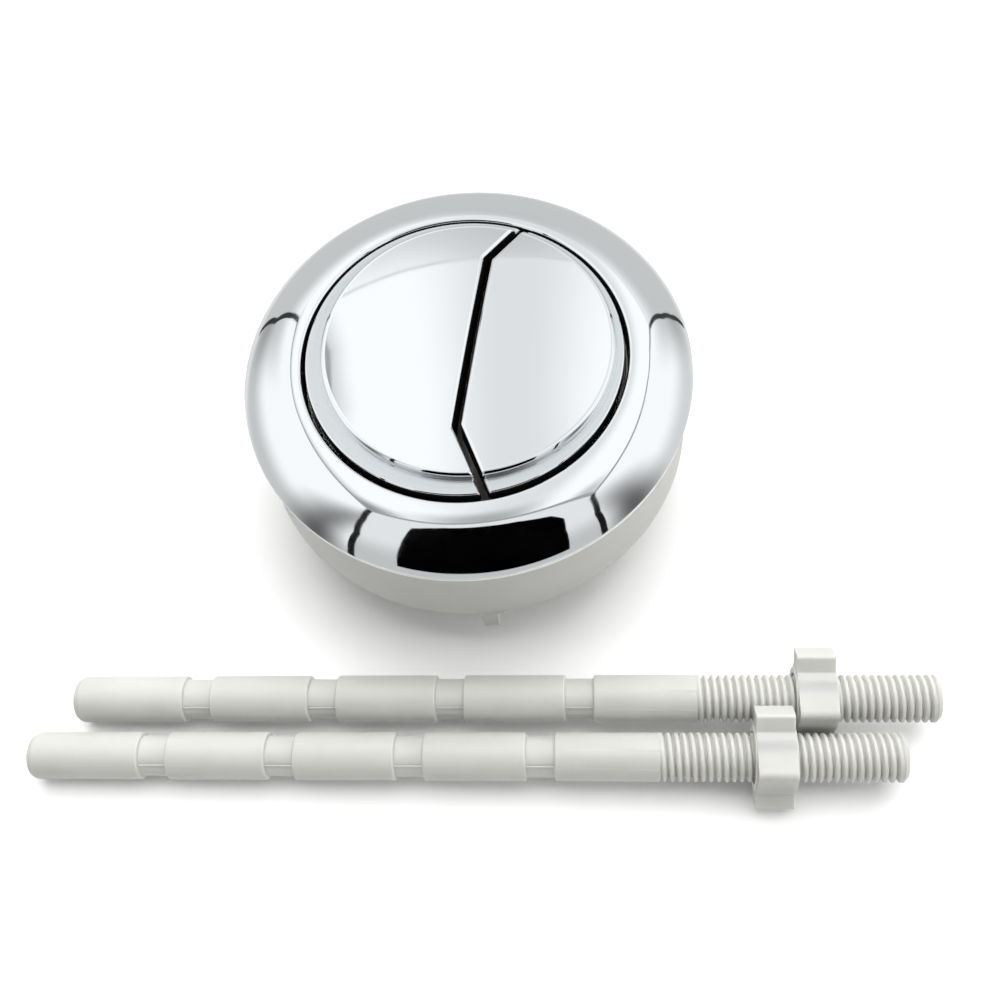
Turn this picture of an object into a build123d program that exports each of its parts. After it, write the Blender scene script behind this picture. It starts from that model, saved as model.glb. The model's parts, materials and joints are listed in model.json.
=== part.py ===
from build123d import *
import os
from math import acos, asin, atan2, cos, degrees, radians, sin, sqrt

# Dual-flush push button for a cistern lid, with its two snap-off push rods lying in front of it.
# Millimetres, +Z up. The origin is on the button's axis, in the plane where the lid's top face
# meets the sealing washer. The smaller button half is on the +X side.

# Clearances
slide_clearance = 0.3  # round faces that slide along each other
thread_clearance = 0.3  # nuts over the threads that they run on
seat_clearance = 0.1  # pieces that drop into one another and stay there
stop_clearance = 0.4  # room left below a cap that is pressed right down

# Bezel ring, the chromed dome that covers the edge of the hole in the lid
bezel_radius = 38.0
bezel_edge = 0.6  # height of the upright rim
bezel_crown = 7.0  # top of the inner lip, above the lid
bezel_wall = 1.6
lip_round = 0.6

# Sealing washer under the bezel
washer_thickness = 0.9
washer_inset = 0.1  # from the bezel's rim to the washer's

# Button caps, made as one disc with a dome on it and parted by a slot with two bends
cap_radius = 26.4
cap_gap = 1.0  # open ring between the caps and the bezel's lip
cap_edge_height = 7.45  # outer edge of the caps, above the lid
cap_edge_round = 0.4
cap_band_rise = 0.2  # the outer band climbs this much towards the dome
cap_band_thickness = 0.95
cap_skirt = 2.75  # depth of the caps' side walls
cap_wall = 1.4
dome_radius = 24.4
dome_x = 0.6  # the dome's middle lies this far towards the smaller cap
dome_y = 0.6  # and this far towards the rear
dome_edge_height = 9.2
dome_crown = 10.6
dome_round = 0.7
dome_thickness = 1.6
slot_width = 1.3
slot_offset = 1.5  # the slot's straight middle lies this far towards the smaller cap
slot_rear_bend = 17.4
slot_front_bend = 15.1
slot_rear_end = 76.0  # where the slot meets the caps' edge, in degrees from +X
slot_front_end = 73.5
press_travel = 5.5

# Button body: a flange under the bezel, a threaded sleeve and a web that guides both plungers
sleeve_radius = 28.5
sleeve_wall = 2.9
sleeve_drop = 29.4  # from the lid's top face to the sleeve's lower end
sleeve_chamfer = 0.8
flange_thickness = 1.8
flange_inset = 0.4  # from the inside of the bezel's dome to the flange
cap_side_clearance = 0.35  # from the caps' edge to the body's counterbore
web_depth = 9.0
web_thickness = 2.5
web_rib_width = 1.8
web_rib_drop = 4.0
guide_wall = 1.6
guide_rise = 4.0
guide_drop = 2.0

# Plungers: a plate that fills the cap, and a stem with a threaded socket for a push rod
full_stem_x = -11.5
half_stem_x = 13.5
stem_radius = 6.3
stem_drop = 20.5  # from the lid's top face to the stem's lower end
plate_thickness = 1.7
spring_boss = 2.0
socket_depth = 14.0
socket_clearance = 0.15

# Clips that keep the plungers in their guides
clip_thickness = 1.0
clip_radius = 8.0
clip_groove = 0.9
clip_mouth = 7.0

# Return springs
wire_diameter = 0.9
wire_sides = 8  # the round wire is drawn with this many flats
spring_turns = 5
spring_clearance = 0.35

# Lock nut: a cup-shaped ring with a threaded collar, ribs and lugs
nut_height = 16.0
nut_inset = 0.5  # from the bezel's rim to the nut's lower edge
nut_taper = 0.4  # the wall widens this much towards its lower edge
nut_wall = 1.8
nut_plate = 2.0
nut_edge_round = 1.0
collar_wall = 2.5
collar_height = 13.0
nut_rib_count = 12
nut_rib_width = 1.6
nut_rib_height = 8.0
lug_count = 4
lug_angle = -77.0
lug_width = 2.8
lug_drop = 5.8
lug_root = 1.0
lug_tip_round = 0.7
catch_start = -89.0  # short raised lip on the nut's upper edge, above each lug
catch_end = -73.3
catch_height = 1.2
catch_depth = 1.5

# Push rods, with necks where they are snapped to length
rod_length = 146.0
rod_radius = 3.95
neck_radius = 3.35
neck_length = 4.85
neck_count = 4
segment_length = 16.9
tip_length = 19.5
tip_round = 0.9
tip_step = 0.5
tip_step_radius = 2.9
neck_chamfer = 0.35
thread_end_chamfer = 0.7

# Rod nuts: a square nut with two ears
rod_nut_thickness = 6.2
rod_nut_half_width = 5.4
rod_nut_corner = 1.1
hub_radius = 5.3
hub_rise = 0.3
ear_span = 16.6
ear_thickness = 4.4
ear_round = 0.5
ear_tilt = 40.0  # the ears' slope when the rod lies on its nut

# Where the rods lie
rod_gap = 7.7  # clear floor between the bezel's rim and the nearer rod
rod_yaw = 7.1
rear_rod_shift = 4.6
front_rod_shift = -1.8
nut_from_end = 20.9  # from the middle of the front rod's nut to the rod's threaded end
nut_gap = 0.4  # between the two nuts, along the rods
rest_clearance = 0.1

# Sizes that follow from the ones above
flange_top = washer_thickness + flange_thickness
edge_top = washer_thickness + bezel_edge
lip_radius = cap_radius + cap_gap
lip_in = lip_radius + lip_round
bezel_span, bezel_drop = bezel_radius - lip_in, bezel_crown - edge_top
bezel_ball = (bezel_span**2 + bezel_drop**2) / (2 * bezel_drop)  # the dome's arc, level at the lip
bezel_centre = bezel_crown - bezel_ball
cap_bottom = cap_edge_height - cap_skirt
cap_seat = cap_edge_height - cap_band_thickness
plate_bottom = cap_seat - plate_thickness
sleeve_bore = sleeve_radius - sleeve_wall
guide_bore = stem_radius + slide_clearance
guide_radius = guide_bore + guide_wall
web_top = -web_depth
web_bottom = web_top - web_thickness
guide_bottom = web_bottom - guide_drop
groove_radius = stem_radius - clip_groove
socket_radius = rod_radius + socket_clearance
floor = -sleeve_drop
nut_low_radius = bezel_radius - nut_inset
nut_top_radius = nut_low_radius - nut_taper
collar_bore = sleeve_radius + thread_clearance
collar_radius = collar_bore + collar_wall
front_nut_at = rod_length / 2 - nut_from_end
rear_nut_at = front_nut_at + front_rod_shift - rear_rod_shift + rod_nut_thickness + 2 * hub_rise + nut_gap
far = 3 * bezel_radius


def lathe(*lines):
    """Solid turned about Z from the lines round its section, given as radius and height."""
    section = make_face([edge for line in lines for edge in line.edges()])
    return revolve(Plane.XZ * section, Axis.Z)


def post(radius, low, high, x=0.0):
    """Upright cylinder between two heights."""
    return Pos(x, 0, low) * Cylinder(radius, high - low, align=(Align.CENTER, Align.CENTER, Align.MIN))


def bezel_inside(height):
    """Radius of the inside of the bezel's dome at a height."""
    return lip_in + sqrt((bezel_ball - bezel_wall) ** 2 - (height - bezel_centre) ** 2)


def bezel_ring():
    """Hollow dome with a low upright rim, and an inner wall that stands on the body's flange."""
    wall_foot, inner = lip_radius + bezel_wall, bezel_ball - bezel_wall
    rim_in = bezel_inside(washer_thickness)
    rim_angle = degrees(asin((edge_top - bezel_centre) / bezel_ball))
    low_angle = degrees(asin((washer_thickness - bezel_centre) / inner))
    high_angle = degrees(acos((wall_foot - lip_in) / inner))
    hollow = CenterArc((lip_in, bezel_centre), inner, low_angle, high_angle - low_angle)
    return lathe(
        Polyline((rim_in, washer_thickness), (bezel_radius, washer_thickness), (bezel_radius, edge_top)),
        CenterArc((lip_in, bezel_centre), bezel_ball, rim_angle, 90 - rim_angle),
        CenterArc((lip_in, bezel_crown - lip_round), lip_round, 90, 90),
        Polyline((lip_radius, bezel_crown - lip_round), (lip_radius, flange_top), (wall_foot, flange_top),
                 hollow @ 1),
        hollow,
    )


def sealing_washer():
    """Flat ring between the bezel and the lid."""
    inner = sleeve_radius + seat_clearance
    return post(bezel_radius - washer_inset, 0, washer_thickness) - post(inner, 0, washer_thickness)


def button_body():
    """Flange and sleeve in one moulding, with a web across the bore and a guide for each plunger."""
    counterbore = cap_radius + cap_side_clearance
    ledge = cap_bottom - press_travel - stop_clearance
    flange_radius = bezel_inside(flange_top) - flange_inset
    body = lathe(Polyline(
        (flange_radius, washer_thickness), (flange_radius, flange_top), (counterbore, flange_top),
        (counterbore, ledge), (sleeve_bore, ledge), (sleeve_bore, floor),
        (sleeve_radius - sleeve_chamfer, floor), (sleeve_radius, floor + sleeve_chamfer),
        (sleeve_radius, washer_thickness), close=True))
    web_radius = sleeve_bore + sleeve_wall / 2
    body += post(web_radius, web_bottom, web_top)
    rib_length = 2 * web_radius
    rib = Pos(0, 0, web_bottom) * Box(web_rib_width, rib_length, web_rib_drop,
                                      align=(Align.CENTER, Align.CENTER, Align.MAX))
    for stem_x in (full_stem_x, half_stem_x):
        across = 2 * sqrt(web_radius**2 - stem_x**2) / rib_length
        body += Pos(stem_x, 0, 0) * scale(rib, (1, across, 1))
        body += post(guide_radius, guide_bottom, web_top + guide_rise, stem_x)
    body -= web_clear_bores()
    return body


def web_clear_bores():
    """Bores of both guides, with room below them for the clips."""
    under_ribs = web_bottom - web_rib_drop
    bores = Part()
    for stem_x in (full_stem_x, half_stem_x):
        bores += post(guide_bore, under_ribs, web_top + guide_rise, stem_x)
        bores += post(clip_radius + slide_clearance, under_ribs, guide_bottom, stem_x)
    return bores


def slot_bends():
    """Bends of the slot's centre line, and points on it well outside the caps, from rear to front."""
    rear, front = Vector(slot_offset, slot_rear_bend), Vector(slot_offset, -slot_front_bend)
    rear_end = Vector(cap_radius, 0).rotate(Axis.Z, slot_rear_end)
    front_end = Vector(cap_radius, 0).rotate(Axis.Z, -slot_front_end)
    rear_out = rear + (rear_end - rear).normalized() * cap_radius
    front_out = front + (front_end - front).normalized() * cap_radius
    return rear_out, rear, front, front_out


def button_zone(side, inset):
    """Plan of one button half, inset from its outer edge and from the slot. The full flush side is -1."""
    half_plane = make_face(Polyline(*slot_bends(), (side * far, -far), (side * far, far), close=True))
    inner = offset(half_plane, -(slot_width / 2 + inset), kind=Kind.INTERSECTION)
    return inner & Circle(cap_radius - inset)


def zone_prism(side, inset, low, high):
    """One button half's plan, raised between two heights."""
    return extrude(Pos(0, 0, low) * button_zone(side, inset), high - low)


def dome_arc(radius, thickness):
    """The dome's top line, or one a thickness below it, from a radius in to the axis."""
    span, rise = dome_radius - dome_round, dome_crown - dome_edge_height
    ball = (span**2 + rise**2) / (2 * rise)
    centre, inner = dome_crown - ball, ball - thickness
    start = degrees(atan2(sqrt(inner**2 - radius**2), radius))
    return CenterArc((0, centre), inner, start, 90 - start)


def cap_blank():
    """Both caps as one solid: a turned disc with a sloped band, and a shallow dome beside its middle."""
    edge_in = cap_radius - cap_edge_round
    edge_low = cap_edge_height - cap_edge_round
    band_in, band_top = dome_radius - Vector(dome_x, dome_y).length, cap_edge_height + cap_band_rise
    disc = lathe(
        Polyline((band_in, band_top), (0, band_top), (0, cap_bottom)),
        Polyline((0, cap_bottom), (cap_radius, cap_bottom), (cap_radius, edge_low)),
        CenterArc((edge_in, edge_low), cap_edge_round, 0, 90),
        Line((edge_in, cap_edge_height), (band_in, band_top)),
    )
    dome_in, dome_low = dome_radius - dome_round, dome_edge_height - dome_round
    dome = lathe(
        Polyline((0, dome_crown), (0, cap_seat), (dome_radius, cap_seat), (dome_radius, dome_low)),
        CenterArc((dome_in, dome_low), dome_round, 0, 90),
        dome_arc(dome_in, 0),
    )
    return disc + Pos(dome_x, dome_y) * dome


def dome_hollow():
    """Turned hollow under the dome, above the seat that the plunger's plate bears on."""
    radius = dome_radius - dome_thickness
    arc = dome_arc(radius, dome_thickness)
    return Pos(dome_x, dome_y) * lathe(Polyline(arc @ 1, (0, cap_seat), (radius, cap_seat), arc @ 0), arc)


def button_cap(side):
    """One chromed cap: a half of the blank, hollow below, with a seat for its plunger."""
    cap = cap_blank() & zone_prism(side, 0, cap_bottom, dome_crown)
    cap -= zone_prism(side, cap_wall, cap_bottom, cap_seat)
    return cap - (dome_hollow() & zone_prism(side, 2 * cap_wall, cap_seat, dome_crown))


def plunger(side, stem_x):
    """Plate that sits in the cap, and a stem with a spring boss, a clip groove and a rod socket."""
    body = zone_prism(side, cap_wall + seat_clearance, plate_bottom, cap_seat)
    body += post(stem_radius, -stem_drop, plate_bottom, stem_x)
    body += post(guide_radius, plate_bottom - spring_boss, plate_bottom, stem_x)
    body -= post(socket_radius, -stem_drop, socket_depth - stem_drop, stem_x)
    groove_low = guide_bottom - clip_thickness
    groove = post(stem_radius, groove_low, guide_bottom, stem_x)
    return body - (groove - post(groove_radius, groove_low, guide_bottom, stem_x))


def retaining_clip(stem_x):
    """Open steel ring in the stem's groove, which stops against the guide's lower end."""
    low, inner = guide_bottom - clip_thickness, groove_radius + seat_clearance / 2
    ring = post(clip_radius, low, guide_bottom, stem_x) - post(inner, low, guide_bottom, stem_x)
    mouth = Pos(stem_x, 0, low) * Box(clip_mouth, clip_radius, clip_thickness,
                                      align=(Align.CENTER, Align.MIN, Align.MIN))
    return ring - mouth


def return_spring(stem_x):
    """Open coil spring round the guide, between the web and the plunger's plate."""
    coil_radius = guide_radius + spring_clearance + wire_diameter / 2
    low, high = web_top + wire_diameter / 2, plate_bottom - wire_diameter / 2
    path = Helix((high - low) / spring_turns, high - low, coil_radius)
    wire = Plane(path @ 0, z_dir=path % 0) * RegularPolygon(wire_diameter / 2, wire_sides)
    return Pos(stem_x, 0, low) * sweep(wire, path, is_frenet=True)


def nut_lug():
    """Lug on the lock nut's lower edge, with hollow roots and a rounded tip."""
    half, tip = lug_width / 2, lug_tip_round
    root_x, root_y = half + lug_root, nut_edge_round
    right = [
        Line((0, root_y), (root_x, root_y)),
        Line((root_x, root_y), (root_x, 0)),
        CenterArc((root_x, -lug_root), lug_root, 90, 90),
        Line((half, -lug_root), (half, tip - lug_drop)),
        CenterArc((half - tip, tip - lug_drop), tip, 0, -90),
        Line((half - tip, -lug_drop), (0, -lug_drop)),
    ]
    outline = make_face(right + [mirror(line, Plane.YZ) for line in right])
    plane = Plane((0, 0, -nut_height), x_dir=(0, 1, 0), z_dir=(1, 0, 0))
    blade = extrude(plane * outline, bezel_radius)
    wall_low, wall_high = -nut_height - lug_drop, nut_edge_round - nut_height
    ring = post(nut_low_radius, wall_low, wall_high) - post(nut_low_radius - nut_wall, wall_low, wall_high)
    return blade & ring


def nut_catch():
    """Short raised lip on the lock nut's upper edge."""
    outer = bezel_radius - washer_inset
    section = Pos(outer - catch_depth / 2, -catch_height / 2) * Rectangle(catch_depth, catch_height)
    return Rot(0, 0, catch_start) * revolve(Plane.XZ * section, Axis.Z, catch_end - catch_start)


def lock_nut():
    """Ring with a flat top, a threaded collar and an outer wall, tied by ribs, with lugs to grip."""
    low, round_in = -nut_height, nut_low_radius - nut_edge_round
    wall_top_in, wall_low_in = nut_top_radius - nut_wall, nut_low_radius - nut_wall
    nut = lathe(
        Polyline((round_in, low), (wall_low_in, low), (wall_top_in, -nut_plate), (collar_radius, -nut_plate),
                 (collar_radius, -collar_height), (collar_bore, -collar_height), (collar_bore, 0),
                 (nut_top_radius, 0), (nut_low_radius, low + nut_edge_round)),
        CenterArc((round_in, low + nut_edge_round), nut_edge_round, 0, -90),
    )
    rib_length = wall_top_in - collar_radius + (collar_wall + nut_wall) / 2
    rib = Pos(collar_radius - collar_wall / 2, 0, -nut_plate) * Box(
        rib_length, nut_rib_width, nut_rib_height, align=(Align.MIN, Align.CENTER, Align.MAX))
    lug, catch = Rot(0, 0, lug_angle) * nut_lug(), nut_catch()
    nut += [Rot(0, 0, turn * 360 / nut_rib_count) * rib for turn in range(nut_rib_count)]
    for turn in range(lug_count):
        nut += Rot(0, 0, turn * 360 / lug_count) * (lug + catch)
    return nut


def push_rod():
    """Rod along X about its own middle: rounded tip, snap-off necks, plain shank and threaded end."""
    start, end = -rod_length / 2, rod_length / 2
    waist = rod_radius - neck_chamfer
    points = [(start, 0), (start, tip_step_radius), (start + tip_step, tip_step_radius),
              (start + tip_step, rod_radius - tip_round), (start + tip_step + tip_round, rod_radius)]
    neck_start = start + tip_length
    for _ in range(neck_count):
        neck_end = neck_start + neck_length
        points += [(neck_start - neck_chamfer, rod_radius), (neck_start, waist), (neck_start, neck_radius),
                   (neck_end, neck_radius), (neck_end, waist), (neck_end + neck_chamfer, rod_radius)]
        neck_start = neck_end + segment_length
    points += [(end - thread_end_chamfer, rod_radius), (end, rod_radius - thread_end_chamfer), (end, 0)]
    return revolve(make_face(Polyline(*points, close=True)), Axis.X)


def rod_nut():
    """Square nut about the X axis with a round hub, and two ears along Y from opposite corners."""
    side = 2 * rod_nut_half_width
    square = Rot(0, 0, 45) * fillet(Rectangle(side, side).vertices(), rod_nut_corner)
    ears = fillet(Rectangle(ear_span, ear_thickness).vertices(), ear_round)
    body = extrude(Plane.YZ * (square + ears), rod_nut_thickness / 2, both=True)
    hub_half = rod_nut_thickness / 2 + hub_rise
    body += Rot(0, 90, 0) * post(hub_radius, -hub_half, hub_half)
    return body - Rot(0, 90, 0) * post(rod_radius + thread_clearance, -hub_half, hub_half)


def ear_corner():
    """Reach and drop of the lower ear's lowest corner below the rod's axis, with the nut on the floor."""
    along, across = ear_span / 2, ear_thickness / 2
    tilt = radians(ear_tilt)
    reach = along * cos(tilt) + across * sin(tilt)
    drop = along * sin(tilt) + across * cos(tilt)
    rise = along * sin(tilt) - across * cos(tilt)
    return reach, drop, rise


def rod_spacing():
    """Distance between the rods at which the ears of each nut clear the other rod."""
    reach, _, rise = ear_corner()
    clear = rod_radius + slide_clearance
    return reach + sqrt(max(clear**2 - rise**2, 0))


def rod_place(shift, distance, nut_at):
    """Place of a rod that lies on its tip and its nut, at a distance in front of the button's axis."""
    _, drop, _ = ear_corner()
    pitch = asin((drop - rod_radius) / (rod_length / 2 + nut_at))
    middle = rod_radius + rod_length / 2 * sin(pitch) + rest_clearance
    return Rot(0, 0, rod_yaw) * Pos(shift, -distance, floor + middle) * Rot(0, -degrees(pitch), 0)


def main():
    rear_distance = bezel_radius + rod_gap + rod_radius
    rear = rod_place(rear_rod_shift, rear_distance, rear_nut_at)
    front = rod_place(front_rod_shift, rear_distance + rod_spacing(), front_nut_at)
    nut = Rot(ear_tilt, 0, 0) * rod_nut()
    nodes = {
        "bezel_ring": bezel_ring(),
        "sealing_washer": sealing_washer(),
        "button_body": button_body(),
        "lock_nut": lock_nut(),
        "front_push_rod": front * push_rod(),
        "rear_push_rod": rear * push_rod(),
        "front_rod_nut": front * Pos(front_nut_at, 0, 0) * nut,
        "rear_rod_nut": rear * Pos(rear_nut_at, 0, 0) * nut,
    }
    for name, side, stem_x in (("full_flush", -1, full_stem_x), ("half_flush", 1, half_stem_x)):
        nodes[name + "_cap"] = button_cap(side)
        nodes[name + "_plunger"] = plunger(side, stem_x)
        nodes[name + "_clip"] = retaining_clip(stem_x)
        nodes[name + "_spring"] = return_spring(stem_x)
    os.makedirs("parts", exist_ok=True)
    for name, solid in nodes.items():
        export_step(solid, f"parts/{name}.step")


main()
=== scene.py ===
import json
from math import acos, asin, atan2, ceil, cos, degrees, pi, radians, sin, sqrt, tan

import bmesh
import bpy
from bpy.props import FloatProperty, FloatVectorProperty, IntProperty, PointerProperty
from mathutils import Matrix, Vector
from mathutils.geometry import delaunay_2d_cdt


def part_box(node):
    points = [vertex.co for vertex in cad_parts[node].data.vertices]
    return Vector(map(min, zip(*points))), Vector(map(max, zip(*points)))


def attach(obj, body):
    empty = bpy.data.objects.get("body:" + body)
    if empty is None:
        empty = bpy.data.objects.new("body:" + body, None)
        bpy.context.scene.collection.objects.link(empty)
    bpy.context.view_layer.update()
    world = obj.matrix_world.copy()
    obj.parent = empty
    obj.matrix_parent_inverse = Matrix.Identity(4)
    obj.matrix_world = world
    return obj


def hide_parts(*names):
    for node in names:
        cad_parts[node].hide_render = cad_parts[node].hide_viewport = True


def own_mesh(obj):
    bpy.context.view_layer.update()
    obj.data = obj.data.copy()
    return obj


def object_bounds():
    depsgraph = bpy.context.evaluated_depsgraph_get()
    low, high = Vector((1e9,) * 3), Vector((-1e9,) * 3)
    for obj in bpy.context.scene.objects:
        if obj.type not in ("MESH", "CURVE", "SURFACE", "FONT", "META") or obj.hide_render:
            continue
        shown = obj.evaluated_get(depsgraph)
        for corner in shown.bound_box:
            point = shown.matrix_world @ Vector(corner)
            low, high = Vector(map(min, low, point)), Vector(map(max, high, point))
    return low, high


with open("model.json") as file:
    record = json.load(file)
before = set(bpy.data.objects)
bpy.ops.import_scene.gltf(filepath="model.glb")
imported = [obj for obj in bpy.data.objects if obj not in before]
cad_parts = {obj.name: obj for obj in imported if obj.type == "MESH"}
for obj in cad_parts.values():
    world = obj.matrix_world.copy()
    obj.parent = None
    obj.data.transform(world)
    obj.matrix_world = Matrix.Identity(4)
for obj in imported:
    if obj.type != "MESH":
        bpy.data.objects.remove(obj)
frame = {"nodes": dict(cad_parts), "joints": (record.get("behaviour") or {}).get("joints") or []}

bl_info = {
    "name": "Push button cistern actuator",
    "version": (1, 0, 0),
    "blender": (4, 5, 0),
    "location": "View3D > Sidebar > Actuator",
    "description": "Dresses a chromed dual-flush button, its lock nut and its loose push rods",
    "category": "Object",
}

MM = 0.001
MERGE = 1e-7  # Points closer than this in metres are one point
CAD_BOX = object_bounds()

BEZEL_LOW, BEZEL_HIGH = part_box("bezel_ring")
CAP_LOW, CAP_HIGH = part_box("full_flush_cap")
WASHER_LOW, WASHER_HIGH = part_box("sealing_washer")
BODY_LOW, BODY_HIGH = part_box("button_body")
NUT_LOW, NUT_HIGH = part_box("lock_nut")
AXES = {joint["name"]: Vector(joint["axis"]) for joint in frame["joints"]}


# Properties

def linear(code):
    """Linear colour with alpha of an sRGB hex value such as '#E6E7E2'."""
    parts = [int(code[i:i + 2], 16) / 255 for i in (1, 3, 5)]
    return tuple(p / 12.92 if p <= 0.04045 else ((p + 0.055) / 1.055) ** 2.4 for p in parts) + (1.0,)


def length(label, millimetres, what):
    """A size in the sidebar, given in millimetres and kept in metres."""
    return FloatProperty(name=label, description=what, default=millimetres * MM, unit="LENGTH", precision=5)


def turn(label, angle, what):
    """An angle in the sidebar, given in degrees."""
    return FloatProperty(name=label, description=what, default=radians(angle), unit="ROTATION")


def colour(label, code, what):
    """A colour in the sidebar, given as an sRGB hex value."""
    return FloatVectorProperty(name=label, description=what, default=linear(code), size=4,
                               subtype="COLOR", min=0.0, max=1.0)


class BezelSizes(bpy.types.PropertyGroup):
    """Chromed dome ring and the washer under it."""
    rim: length("Rim radius", BEZEL_HIGH.x / MM, "Outer radius of the bezel")
    crown: length("Crown", BEZEL_HIGH.z / MM, "Top of the bezel above the lid")
    seat: length("Seat", BEZEL_LOW.z / MM, "Lower edge of the bezel above the lid")
    edge: length("Upright edge", 0.6, "Height of the upright rim")
    lip: length("Lip radius", 27.1, "Radius of the opening round the caps")
    lip_round: length("Lip round", 0.6, "Rounding of the opening's edge")
    wall: length("Wall", 1.6, "Thickness of the moulding")
    inner_foot: length("Inner foot", 2.7, "Lower end of the inner wall, on the body's flange")
    washer: length("Washer radius", WASHER_HIGH.x / MM, "Outer radius of the sealing washer")
    washer_bore: length("Washer bore", 28.6, "Inner radius of the sealing washer")
    washer_top: length("Washer top", WASHER_HIGH.z / MM, "Thickness of the sealing washer")


class CapSizes(bpy.types.PropertyGroup):
    """Chromed caps, one dome parted by a slot."""
    radius: length("Cap radius", -CAP_LOW.x / MM, "Outer radius of both caps")
    crown: length("Crown", CAP_HIGH.z / MM, "Top of the dome above the lid")
    skirt: length("Skirt", CAP_LOW.z / MM, "Lower edge of the caps' side walls")
    edge: length("Edge height", 7.45, "Outer edge of the caps above the lid")
    edge_round: length("Edge round", 0.25, "Rounding of the outer edge")
    band_rise: length("Band rise", 0.2, "Climb of the outer band towards the dome")
    dome: length("Dome radius", 24.4, "Radius of the raised dome")
    dome_x: length("Dome place across", 0.6, "Dome's middle, towards the smaller cap")
    dome_y: length("Dome place along", 0.6, "Dome's middle, towards the rear")
    dome_edge: length("Dome edge", 9.2, "Height of the dome's edge above the lid")
    dome_round: length("Dome round", 0.7, "Rounding of the dome's edge")
    draft: turn("Draft", 4.0, "Slope of the dome's side, which lets it leave the mould")
    cove: length("Cove", 0.12, "Hollow corner between band and dome")
    wall: length("Wall", 1.4, "Thickness of the caps' side walls")
    ceiling: length("Ceiling", 6.8, "Underside of the caps' tops above the lid")
    slot: length("Slot width", 1.3, "Gap between the two caps")
    slot_round: length("Slot edge round", 0.6, "Rounding of the edges along the slot")
    slot_x: length("Slot offset", 1.5, "Place of the slot's straight middle")
    rear_bend: length("Rear bend", 17.4, "Distance of the slot's rear bend from the axis")
    front_bend: length("Front bend", 15.1, "Distance of the slot's front bend from the axis")
    rear_end: turn("Rear end", 76.0, "Bearing at which the slot leaves the caps at the rear")
    front_end: turn("Front end", -73.5, "Bearing at which the slot leaves the caps in front")


class BodySizes(bpy.types.PropertyGroup):
    """White button body with its threaded sleeve, guides and springs."""
    flange: length("Flange radius", BODY_HIGH.x / MM, "Radius of the flange under the bezel")
    flange_top: length("Flange top", BODY_HIGH.z / MM, "Top of the flange above the lid")
    seat: length("Flange seat", 0.9, "Underside of the flange above the lid")
    foot: length("Sleeve end", BODY_LOW.z / MM, "Lower end of the sleeve")
    sleeve: length("Sleeve radius", 28.5, "Outer radius of the sleeve's thread")
    bore: length("Sleeve bore", 25.6, "Inner radius of the sleeve")
    counterbore: length("Counterbore", 26.75, "Radius of the recess for the caps")
    ledge: length("Ledge", -1.2, "Floor of the recess for the caps")
    thread_pitch: length("Thread pitch", 3.0, "Spacing of the sleeve's thread")
    thread_depth: length("Thread depth", 0.9, "Depth of the sleeve's thread")
    web_top: length("Web top", -9.0, "Top of the web that carries the guides")
    web: length("Web thickness", 2.5, "Thickness of the web")
    guide: length("Guide radius", 8.2, "Outer radius of the plunger guides")
    guide_bore: length("Guide bore", 6.6, "Bore of the plunger guides")
    guide_rise: length("Guide rise", 4.0, "Guides above the web")
    guide_drop: length("Guide drop", 2.0, "Guides below the web")
    rib: length("Rib width", 1.8, "Width of the ribs under the web")
    rib_drop: length("Rib drop", 4.0, "Depth of the ribs under the web")
    clip_room: length("Clip room", 8.3, "Radius kept free of ribs below the guides")
    full_stem: length("Full flush stem", -11.5, "Place of the full flush plunger")
    half_stem: length("Half flush stem", 13.5, "Place of the half flush plunger")
    coil: length("Coil radius", 9.0, "Mean radius of the return springs")
    wire: length("Wire", 0.9, "Diameter of the spring wire")
    spring_top: length("Spring top", 4.8, "Upper end of the return springs")


class LockNutSizes(bpy.types.PropertyGroup):
    """White cup-shaped lock nut under the lid."""
    low_radius: length("Lower radius", 37.5, "Radius at the lower edge")
    top_radius: length("Upper radius", 37.1, "Radius at the upper edge")
    height: length("Height", 16.0, "Height of the outer wall")
    wall: length("Wall", 1.8, "Thickness of the outer wall")
    plate: length("Plate", 2.0, "Thickness of the flat top")
    bore: length("Bore", 28.8, "Radius of the collar's bore")
    collar: length("Collar radius", 31.3, "Outer radius of the threaded collar")
    collar_height: length("Collar height", 13.0, "Height of the threaded collar")
    edge_round: length("Edge round", 1.0, "Rounding of the lower edge")
    ribs: IntProperty(name="Ribs", description="Ribs between collar and wall", default=12, min=3)
    rib_width: length("Rib width", 1.6, "Width of a rib")
    rib_height: length("Rib height", 8.0, "Height of a rib")
    lugs: IntProperty(name="Lugs", description="Lugs on the lower edge", default=4, min=1)
    lug_bearing: turn("Lug bearing", -77.0, "Bearing of the first lug")
    lug_width: length("Lug width", 2.8, "Width of a lug")
    lug_root: length("Lug root", 1.0, "Hollow rounding at a lug's root")
    catch_start: turn("Catch start", -89.0, "Where the first raised lip starts")
    catch_end: turn("Catch end", -73.3, "Where the first raised lip ends")
    catch_height: length("Catch height", 1.2, "Height of the raised lip")
    catch_radius: length("Catch radius", NUT_HIGH.x / MM, "Outer radius of the raised lip")


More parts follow.
